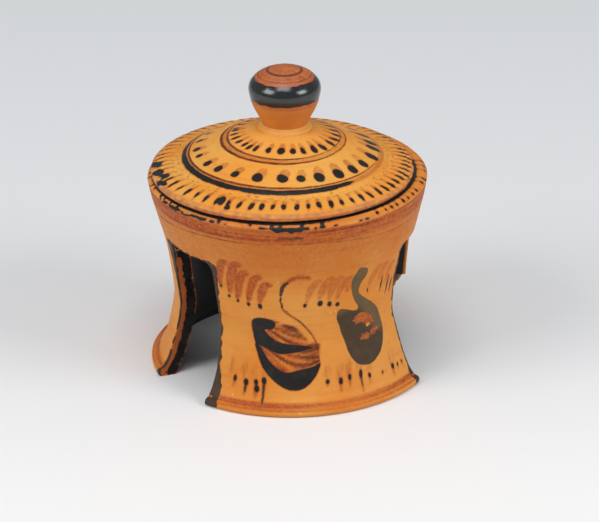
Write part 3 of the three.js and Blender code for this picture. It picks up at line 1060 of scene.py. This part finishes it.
# Cut faces of the legs: zones of azimuth and of height, and depths through the wall from 0 to 1
facePaint = {
    "lip": ((-70, -37), (46.5, 49)),
    "lipHeight": 47.5,
    "leftFace": (-76, -62),
    "leftTop": 41,
    "leftStrips": ((0.25, 1, (0.2, 0.1), 1), (0.97, 0.4, (0.05, 0.01), 0.8)),
    "arris": 0.07,
    "arrisReach": 0.06,
    "arrisZones": ((-42, -35.2), (57, 66)),
    "arrisLevel": 0.75,
    "breakZone": (98, 136),
    "breakReach": 1.3,
    "breakLevel": 0.34,
    "crumbs": ((-70, -38), (43, 47.6)),
}


def paintWall():
    azimuth, radius, height = polarPlaces(wall)
    sizes = wallSizes
    outside = np.interp(height, [0, 1.25, sizes["bandHeight"]] + outerHeights[1:] + [sizes["rimTop"]],
                        [44.6, sizes["footRadius"], 44.4] + outerRadii[1:] + [sizes["seatRadius"]])
    inner = np.interp(height, [0, sizes["grooveTop"]] + outerHeights[1:] + [sizes["rimTop"]],
                      [sizes["footInner"], 38.0] + [innerRadius(z) for z in outerHeights[1:]]
                      + [sizes["mouthRadius"]])
    depth = np.clip((outside - radius) / (outside - inner), 0, 1)
    across = azimuth * wallScale
    paint = Paint(len(height))
    random.seed(11)
    paintSwans(paint, across, height)
    paintRows(paint, across, height)
    paintRim(paint, azimuth, height)
    # Painted shadow under the lid's edge, partly black slip, laid on the rim's seat as black paint
    creaseShadow = polarPlaces(wall, lidSizes["shift"])[1] - alongTable(azimuth, creaseShadowLine)
    paint.lay("black", np.where(height > 63.6, creaseShadow, 5))
    below = height < sizes["openingTop"] + 0.4
    ragged = noiseAlong(across * 0.8, height * 0.5, 13.0) * 0.8
    for side, zone, line in edgeBands:
        field = side * (azimuth - alongTable(height, line)) * wallScale
        paint.lay("dark", np.where(within(azimuth, *zone) & below, field + ragged, 5))
    faces = facePaint
    lip = within(azimuth, *faces["lip"][0]) & within(height, *faces["lip"][1])
    paint.lay("dark", np.where(lip, height - faces["lipHeight"] + ragged, 5))
    cut = np.clip((depth - 0.1) / 0.06, 0, 1)
    seat = height > 64.4
    ragStrip = noiseAlong(depth * 3, height * 0.3, 21.0) * 0.1
    leftFace = within(azimuth, *faces["leftFace"]) & (height < faces["leftTop"])
    strip = np.zeros(len(depth))
    for middle, rough, limits, level in faces["leftStrips"]:
        band = smooth(np.abs(depth - middle + ragStrip * rough), *limits)
        strip = np.maximum(strip, np.where(leftFace, band * level, 0))
    arris = np.clip(1 - np.abs(depth - faces["arris"]) / faces["arrisReach"], 0, 1)
    arris = arris * (height < faces["lipHeight"])
    for zone in faces["arrisZones"]:
        strip = np.maximum(strip, np.where(within(azimuth, *zone), arris * faces["arrisLevel"], 0))
    nearBreak = np.abs(height - alongTable(azimuth, breakSizes["course"])) < faces["breakReach"]
    broken = within(azimuth, *faces["breakZone"]) & nearBreak & (depth > 0.05)
    strip = np.where(broken, faces["breakLevel"], strip)
    under = within(azimuth, *faces["crumbs"][0]) & within(height, *faces["crumbs"][1]) & (depth > 0.15)
    crumbs = smooth(noiseAlong(across * 0.9, height * 0.9, 31.0), 0.15, 0.4)
    strip = np.maximum(strip, np.where(under, crumbs, 0) * 0.9)
    paint.store(wall, (depth > 0.14) & ~seat)
    storeField(wall, "insideSlip", np.where(seat & (depth < 0.95), 0, cut))
    storeField(wall, "bareStrip", strip)


paintWall()
leanOver(wall)
wall.data.materials.append(paintedClay("paintedWallClay", ("wall", "wallPale", "wallDeep"), "height", True))
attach(wall, "pot")
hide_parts("wall_and_legs")
print("stage: wall painted")


# Bowl floor and the roll of clay that holds it
floorSizes = {"base": 48.0, "thickness": 4.0, "dish": 0.8, "gap": 0.3, "luting": (3.4, 2.6)}


def makeBowlFloor():
    sizes = floorSizes
    base, top = sizes["base"], sizes["base"] + sizes["thickness"]
    dish = sizes["dish"]
    rim = innerRadius(base) - sizes["gap"]
    bend = dish * 0.75
    under = smoothLine([(0.0, base - dish), (18.7, base - bend), (rim - 3.4, base), (rim, base)], 1.2)
    over = smoothLine([(innerRadius(top) - sizes["gap"], top), (18.7, top - bend), (0.0, top - dish)], 1.2)
    bm = turned(under + over, 180, False)
    sharp = [edge for edge in bm.edges if edge.calc_face_angle(0) > math.radians(40)]
    bmesh.ops.bevel(bm, geom=sharp, offset=0.3 * mm, segments=2, profile=0.5, affect="EDGES", material=-1)
    return finishPiece(bm, "bowlFloorDisc")


def makeLuting():
    sizes = floorSizes
    width, drop = sizes["luting"]
    top = sizes["base"] - 0.3
    outer = innerRadius(top) - sizes["gap"]
    low = innerRadius(top - drop) - sizes["gap"]
    roll = arcLine((low, top), (-width, -drop), 90, 0, 8)
    bm = turned([(outer, top)] + roll[::-1], 240, True)
    for vert in bm.verts:
        azimuth, radius, height = cylinderPlace(vert.co)
        if height < top - 0.1:
            lump = noise.noise(vert.co * 260) * 0.5 + 0.5
            vert.co.z += lump * 0.9 * mm
            vert.co.x *= 1 + lump * 0.006
            vert.co.y *= 1 + lump * 0.006
    return finishPiece(bm, "floorLutingRoll", 60)


bowlFloor = makeBowlFloor()
leanOver(bowlFloor)
bowlFloor.data.materials.append(darkSlip("bowlSlip"))
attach(bowlFloor, "pot")
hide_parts("bowl_floor")
luting = makeLuting()
leanOver(luting)
luting.data.materials.append(bareClay("lutingClay", ("bare", "wallPale", "wallDeep")))
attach(luting, "pot")
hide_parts("floor_luting")
print("stage: bowl floor")


def lidSink(azimuth, radius, above):
    back = radius * np.cos(np.radians(azimuth - lidSizes["sinkAzimuth"])) / lidSizes["radius"]
    return lidSizes["sink"] * (back + 1) / 2 * np.clip((above - 0.6) / 4, 0, 1)


def aboveSeat(points):
    return [(radius, height + lidSizes["base"]) for radius, height in points]


def makeLid():
    sizes = lidSizes
    edge = arcLine((sizes["radius"] - 1.15, 1.15), (1.15, 1.15), -75, 60, 9)
    top = edge + smoothLine(sizes["outline"], 0.4) + sizes["step"] + smoothLine(sizes["dome"], 0.5)
    crown = [(6.0, sizes["crown"]), (3.0, sizes["crown"]), (0.0, sizes["crown"])]
    under = smoothLine(sizes["under"][::-1], 1.5) + [(35.7, 0.0), (38.6, 0.0), (40.4, 0.0)]
    bm = turned(aboveSeat(under + top + crown), sizes["columns"], False)
    for vert in bm.verts:
        azimuth, radius, height = cylinderPlace(vert.co)
        above = height - sizes["base"]
        if above < 0.2:
            continue
        if radius > 39.4:
            chip = noise.noise(Vector((azimuth * 0.25, above * 0.4, 1.0)))
            grit = noise.noise(vert.co * 900) * 0.12
            right = max(0.0, math.cos(math.radians(azimuth - 110)))
            left = max(0.0, math.cos(math.radians(azimuth + 120))) * 0.55
            bite = max(0.0, chip - 0.28) * 1.5 + abs(grit) + sizes["wornEdge"] * (right + left)
            vert.co.x *= 1 - bite / 42
            vert.co.y *= 1 - bite / 42
        if 31.9 < radius < 35.6:
            crumble = noise.noise(vert.co * 800) * 0.16 + noise.noise(vert.co * 1900) * 0.08
            vert.co.z += (crumble - 0.1) * mm
        if 9 < radius < 42:
            vert.co.z += (noise.noise(vert.co * 55) * 0.12 + math.sin(radius * 3.1) * 0.012) * mm
    for vert in bm.verts:
        azimuth, radius, height = cylinderPlace(vert.co)
        vert.co.z -= lidSink(azimuth, radius, height - sizes["base"]) * mm
    slideOver(bm, sizes["shift"])
    return finishPiece(bm, "lidDome", 50)


# Rows of brush marks: the seen ones stand at their own azimuths and the others follow evenly.
# Radius, length and width are given at the left, at the front and at the right
lidRows = [
    {"spots": [-101, -88, -76, -63.5, -51.3, -42, -32.7, -16.7, -1.6, 12.3, 23.9, 37.8, 49.5, 64.6, 77,
               90, 103],
     "gap": 13.6, "radius": (14.9, 14.7, 16.4), "length": (3.0, 2.6, 3.9), "width": (1.2, 1.9, 1.7),
     "lean": (24, 10, -8)},
    {"spots": [-88, -76.2, -61, -48.4, -33.6, -16.9, 0, 12.2, 24.9, 39.1, 51.8, 64, 78.5, 92.7, 102.2],
     "gap": 14.0,
     "radius": (26.6, 25.7, 28.0), "length": (2.7, 3.0, 4.2), "width": (2.1, 3.3, 3.2),
     "lean": (36, 28, 0)},
    {"spots": [*range(-100, -79, 5), *range(-74, -25, 6), -20.4, -14.7, -9.7, -4.6,
               0.4, 6.7, 11.9, 17.1, 22.8, 28.2, 33.6, 39.1, 44.1, 50.1, *range(55, 101, 5)],
     "gap": 5.3, "radius": (38.6, 37.2, 38.6), "length": (3.8, 2.9, 3.6), "width": (1.0, 1.45, 1.2),
     "lean": (10, 6, -6)},
]
# Smudges where a brush was laid down: azimuth, radius, length, width
lidSmudges = [(-89.3, 40.2, 3.6, 5.5), (-79, 39.6, 4.0, 4.6), (-68.1, 40.4, 2.6, 4.2),
              (-71.6, 38.4, 3.4, 2.4), (-30, 37.4, 4.2, 2.8), (-25.4, 39.2, 2.8, 1.9)]
# Thin rings: radius at the left, at the front and at the right, width, strength
lidRings = [((17.2, 18.6, 18.0), 0.5, 0.85), ((19.2, 20.3, 19.8), 0.65, 0.95),
            ((29.5, 29.7, 30.2), 0.55, 1.0)]


def paintLid(lid):
    azimuth, radius, height = polarPlaces(lid, lidSizes["shift"])
    above = height - lidSizes["base"]
    above = above + lidSink(azimuth, radius, above + 0.5)
    paint = Paint(len(radius))
    random.seed(23)
    around = np.radians(azimuth) * 30
    ragged = noiseAlong(around * 0.25, radius * 0.5, 4.0)
    paint.dark = np.where(radius > 39, above - 0.5 + ragged * 0.3, 5)
    for row in lidRows:
        places = list(row["spots"])
        while places[-1] + row["gap"] < places[0] + 360 - row["gap"] * 0.4:
            places.append(places[-1] + row["gap"])
        for place in places:
            spot = (place + 180) % 360 - 180
            middle, length, width, lean = (np.interp(spot, [-90, 0, 80], row[key])
                                           for key in ("radius", "length", "width", "lean"))
            away = (azimuth - spot + 180) % 360 - 180
            across = np.radians(away) * middle
            near = (np.abs(across) < 6) & (np.abs(radius - middle) < 7)
            out = radius[near] - middle
            size = random.uniform(0.8, 1.15)
            lean += random.uniform(-12, 12)
            drop = dotField(across[near], out - 0.3, (0.0, 0.0), (length * size, width * size), 90 + lean)
            tail = dotField(across[near], out, (width * 0.2, -length * 0.42),
                            (length * 1.25 * size, width * 0.95 * size), 90 + lean)
            drop = drop + ragged[near] * 0.3
            paint.lay("black", drop, near)
            cover = fade(tail, -0.35, 0.3)
            rim = fade(np.abs(tail + 0.05), 0.0, 0.28)
            level = random.uniform(0.3, 0.6)
            paint.tone("soft", np.maximum(cover * level, rim * 0.65), near)
    for place, middle, length, width in lidSmudges:
        across = np.radians((azimuth - place + 180) % 360 - 180) * middle
        near = (np.abs(across) < 8) & (above > 0.6)
        dot = dotField(radius[near] - middle, across[near], (0.0, 0.0), (length, width), 20)
        paint.lay("black", dot + ragged[near] * 0.9, near)
    darkSide = np.interp(azimuth, [-180, -150, -70, 0, 40, 100, 180], [0.4, 0.8, 1.0, 0.75, 0.3, 0.2, 0.3])
    for middles, width, level in lidRings:
        middle = np.interp(azimuth, [-90, 0, 90], middles)
        line = np.abs(radius - middle - ragged * 0.12) - width / 2 * (0.6 + 0.7 * darkSide)
        paint.addLine(line, level)
        paint.tone("streak", fade(line, -0.2, 0.2) * darkSide * 0.75)
    washMiddle = np.interp(azimuth, [-90, 0, 90], [18.2, 19.4, 18.9])
    wash = fade(np.abs(radius - washMiddle), 0.6, 1.2) * (0.28 + 0.3 * darkSide)
    paint.tone("soft", wash)
    bandEnd = np.interp(azimuth, [-180, -150, -120, -75, 30, 40, 46, 180],
                        [0.0, 0.2, 0.9, 1.7, 1.6, 1.2, 0.0, 0.0])
    band = np.abs(radius - np.interp(azimuth, [-90, 0, 90], [30.9, 31.3,
                                                             31.2])) - bandEnd / 2 + ragged * 0.22
    paint.lay("black", np.where(bandEnd > 0.05, band, 5))
    innerLevel = np.interp(azimuth, [-180, 40, 52, 180], [0.5, 0.4, 0.6, 0.5])
    paint.tone("soft", fade(np.abs(radius - 31.1), 0.5, 0.9) * innerLevel)
    worn = smooth(radius, 39.9, 41.0) * (above > 0.05)
    paint.edge = worn * np.clip(0.6 + noiseAlong(around * 0.8, above * 0.8, 6.0) * 0.8, 0, 1)
    paint.tone("soft", smooth(radius, 41.2, 41.7) * 0.4 * (above < 1.6))
    valley = fade(np.abs(radius - 33.8), 0.9, 1.8) * (above > 3.5)
    paint.tone("streak", valley * smooth(noiseAlong(around * 0.9, radius * 1.6, 8.0), 0.2, 0.5) * 0.5)
    middle = np.interp(radius, [0, 8.6, 19.8, 32.5], [13, 12.6, 8.6, 2.6])
    underside = (radius < 32.5) & (above < middle)
    paint.store(lid, (above < 0.05) | underside)


lid = makeLid()
paintLid(lid)
lid.data.materials.append(paintedClay("paintedLidClay", ("lid", "lidPale", "lidDeep"), "radius", False))
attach(lid, "lid")
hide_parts("lid_plate")
print("stage: lid", len(lid.data.polygons))


# Flange under the lid
flangeSizes = {"outer": 36.1, "inner": 33.15, "depth": 4.5}


def makeFlange():
    sizes = flangeSizes
    top, low = lidSizes["base"], lidSizes["base"] - sizes["depth"]
    outer, inner = sizes["outer"], sizes["inner"]
    profile = [(inner + 0.4, low), (outer - 0.6, low), (outer, low + 0.8), (outer, top), (inner, top)]
    bm = turned(profile, 240, True)
    below = (top - 0.5) * mm
    sharp = [edge for edge in bm.edges
             if edge.calc_face_angle(0) > math.radians(30) and max(v.co.z for v in edge.verts) < below]
    bmesh.ops.bevel(bm, geom=sharp, offset=0.3 * mm, segments=3, profile=0.5, affect="EDGES", material=-1)
    slideOver(bm, lidSizes["shift"])
    return finishPiece(bm, "lidFlangeRing")


flange = makeFlange()
flange.data.materials.append(bareClay("flangeClay", ("bare", "wallPale", "wallDeep")))
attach(flange, "lid")
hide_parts("lid_flange")


# Knob: heights above the crown of the lid
knobSizes = {
    "sunk": 0.55,          # reaches down to the sunk middle of the lid
    "outline": [(7.1, -0.55), (7.2, 0.7), (7.5, 1.9), (8.6, 4.1), (9.9, 6.6), (10.5, 8.2), (10.72, 8.75),
                (10.78, 9.1), (11.1, 10.4), (11.38, 12.2), (11.2, 13.7), (10.5, 15.1), (8.75, 16.8),
                (6.3, 18.1), (3.3, 19.05), (0.0, 19.42)],
    "shift": (-0.65, 0.0),
    "collar": (7.3, 8.3, 1.2),
}


def makeKnob():
    base = lidSizes["base"] + lidSizes["crown"]
    line = smoothLine([(radius, height + base) for radius, height in knobSizes["outline"]], 0.4)
    bm = turned([(0.0, base - knobSizes["sunk"])] + line, 180, False)
    wobble(bm, 0.1, 70, 9.0)
    slideOver(bm, knobSizes["shift"])
    return finishPiece(bm, "lidKnobBulb", 60)


def makeCollar():
    base = lidSizes["base"] + lidSizes["crown"]
    inner, outer, rise = knobSizes["collar"]
    low = base - knobSizes["sunk"]
    profile = [(inner - 0.25, low)] + smoothLine([(outer + 0.2, low), (outer - 0.1, base + rise * 0.1),
                                                  (inner + 0.25, base + rise * 0.55),
                                                  (inner + 0.02, base + rise)], 0.12)
    bm = turned(profile, 140, True)
    for vert in bm.verts:
        if vert.co.z > (base + 0.1) * mm:
            vert.co.z += noise.noise(vert.co * 300) * 0.1 * mm
    slideOver(bm, knobSizes["shift"])
    return finishPiece(bm, "knobCollarRing", 70)


# Rings on top of the knob: radius, width, strength
knobRings = [(8.3, 0.4, 0.9), (5.4, 0.75, 1.0), (3.4, 0.4, 0.6), (7.2, 0.35, 0.5)]


def paintKnob(knob):
    azimuth, radius, height = polarPlaces(knob, knobSizes["shift"])
    rise = height - lidSizes["base"] - lidSizes["crown"]
    around = np.radians(azimuth) * 11
    ragged = noiseAlong(around * 0.4, rise * 0.6, 4.0)
    paint = Paint(len(radius))
    paint.black = np.maximum(9.9 - rise + ragged * 0.3, rise - 16.2 + ragged * 0.3)
    top = rise > 14
    for middle, width, level in knobRings:
        line = np.where(top, np.abs(radius - middle + ragged * 0.15) - width / 2, 5)
        paint.addLine(line, level)
    paint.streak = np.where(top, fade(np.abs(radius - 5.4), 0.15, 0.5) * 0.8, 0)
    paint.soft = np.where(top, np.clip(0.62 + ragged * 0.5, 0.3, 0.9), 0)
    paint.tone("soft", fade(np.abs(rise - 9.2), 0.2, 0.9) * 0.5)
    paint.store(knob, rise < -0.4)


def glossyKnob():
    material = paintedClay("paintedKnobClay", ("knob", "wall", "wallDeep"), "height", False)
    tree = material.node_tree
    shader = tree.nodes["Principled BSDF"]
    place = positionInMm(tree)
    band = ramp(tree, field(tree, "blackPaint"), 0.05, -0.1)
    worn = noiseNode(tree, place, 1.1, 5.0, 0.7)
    gloss = mixNode(tree, "FLOAT", band, 0.5, ramp(tree, worn, 0.42, 0.68, 0.07, 0.26))
    painted = shader.inputs["Base Color"].links[0].from_socket
    cool = times(tree, band, ramp(tree, worn, 0.6, 0.5))
    setInputs(tree, shader, {"Base Color": mixColour(tree, cool, painted, "blueBlack"),
                             "Roughness": gloss, "Specular IOR Level": 0.8})
    return material


knob = makeKnob()
paintKnob(knob)
knob.data.materials.append(glossyKnob())
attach(knob, "lid")
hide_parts("lid_knob")
collar = makeCollar()
collar.data.materials.append(bareClay("collarClay", ("lid", "lidPale", "lidDeep")))
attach(collar, "lid")
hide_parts("knob_collar")
print("stage: knob")


# Floor, backdrop and lamps
def makeStage():
    bm = bmesh.new()
    bmesh.ops.create_grid(bm, x_segments=2, y_segments=2, size=3.0)
    floor = finishPiece(bm, "studioFloor")
    bm = bmesh.new()
    bmesh.ops.create_grid(bm, x_segments=2, y_segments=2, size=4.0)
    bmesh.ops.rotate(bm, verts=bm.verts[:], cent=(0, 0, 0), matrix=Matrix.Rotation(math.radians(90), 3,
                                                                                   "X"))
    bmesh.ops.translate(bm, verts=bm.verts[:], vec=(0, 2.9, 0))
    backdrop = finishPiece(bm, "studioBackdrop")
    material, tree, shader = newMaterial("palePaperAndShade")
    place = addNode(tree, "ShaderNodeTexCoord").outputs["Object"]
    axes = axesOf(tree, place)
    # Painted shade: the paper is darker and bluer from just in front of the pot backwards, and grows
    # lighter again far back
    far = ramp(tree, axes[1], 0.15, 0.7)
    colour = mixColour(tree, ramp(tree, axes[1], -0.11, 0.03), tint(242, 242, 242), tint(230, 232, 235))
    colour = mixColour(tree, far, colour, tint(238, 243, 243))
    setInputs(tree, shader, {"Base Color": colour, "Roughness": 0.9, "Specular IOR Level": 0.1})
    floor.data.materials.append(material)
    backdrop.data.materials.append(material)


lampSizes = {
    "left": {"place": (-0.85, -0.5, 0.75), "size": 0.6, "power": 5.7},
    "right": {"place": (0.85, -0.45, 0.6), "size": 0.5, "power": 4.8},
    "top": {"place": (-0.05, -0.35, 1.3), "size": 0.7, "power": 6.0},
    "world": 0.3,
}


def makeLamps():
    for name in ("left", "right", "top"):
        sizes = lampSizes[name]
        data = bpy.data.lights.new(name + "Lamp", "AREA")
        data.shape = "SQUARE"
        data.size = sizes["size"]
        data.energy = sizes["power"]
        lamp = bpy.data.objects.new(name + "Lamp", data)
        bpy.context.scene.collection.objects.link(lamp)
        lamp.location = sizes["place"]
        aim = Vector((0, 0, 0.05)) - lamp.location
        lamp.rotation_euler = aim.to_track_quat("-Z", "Y").to_euler()
    world = bpy.data.worlds.new("studioAir")
    bpy.context.scene.world = world
    world.use_nodes = True
    world.node_tree.nodes["Background"].inputs["Color"].default_value = (1, 1, 1, 1)
    world.node_tree.nodes["Background"].inputs["Strength"].default_value = lampSizes["world"]


makeStage()
makeLamps()
bpy.context.scene.view_settings.view_transform = "Standard"
print("stage: floor and lamps")
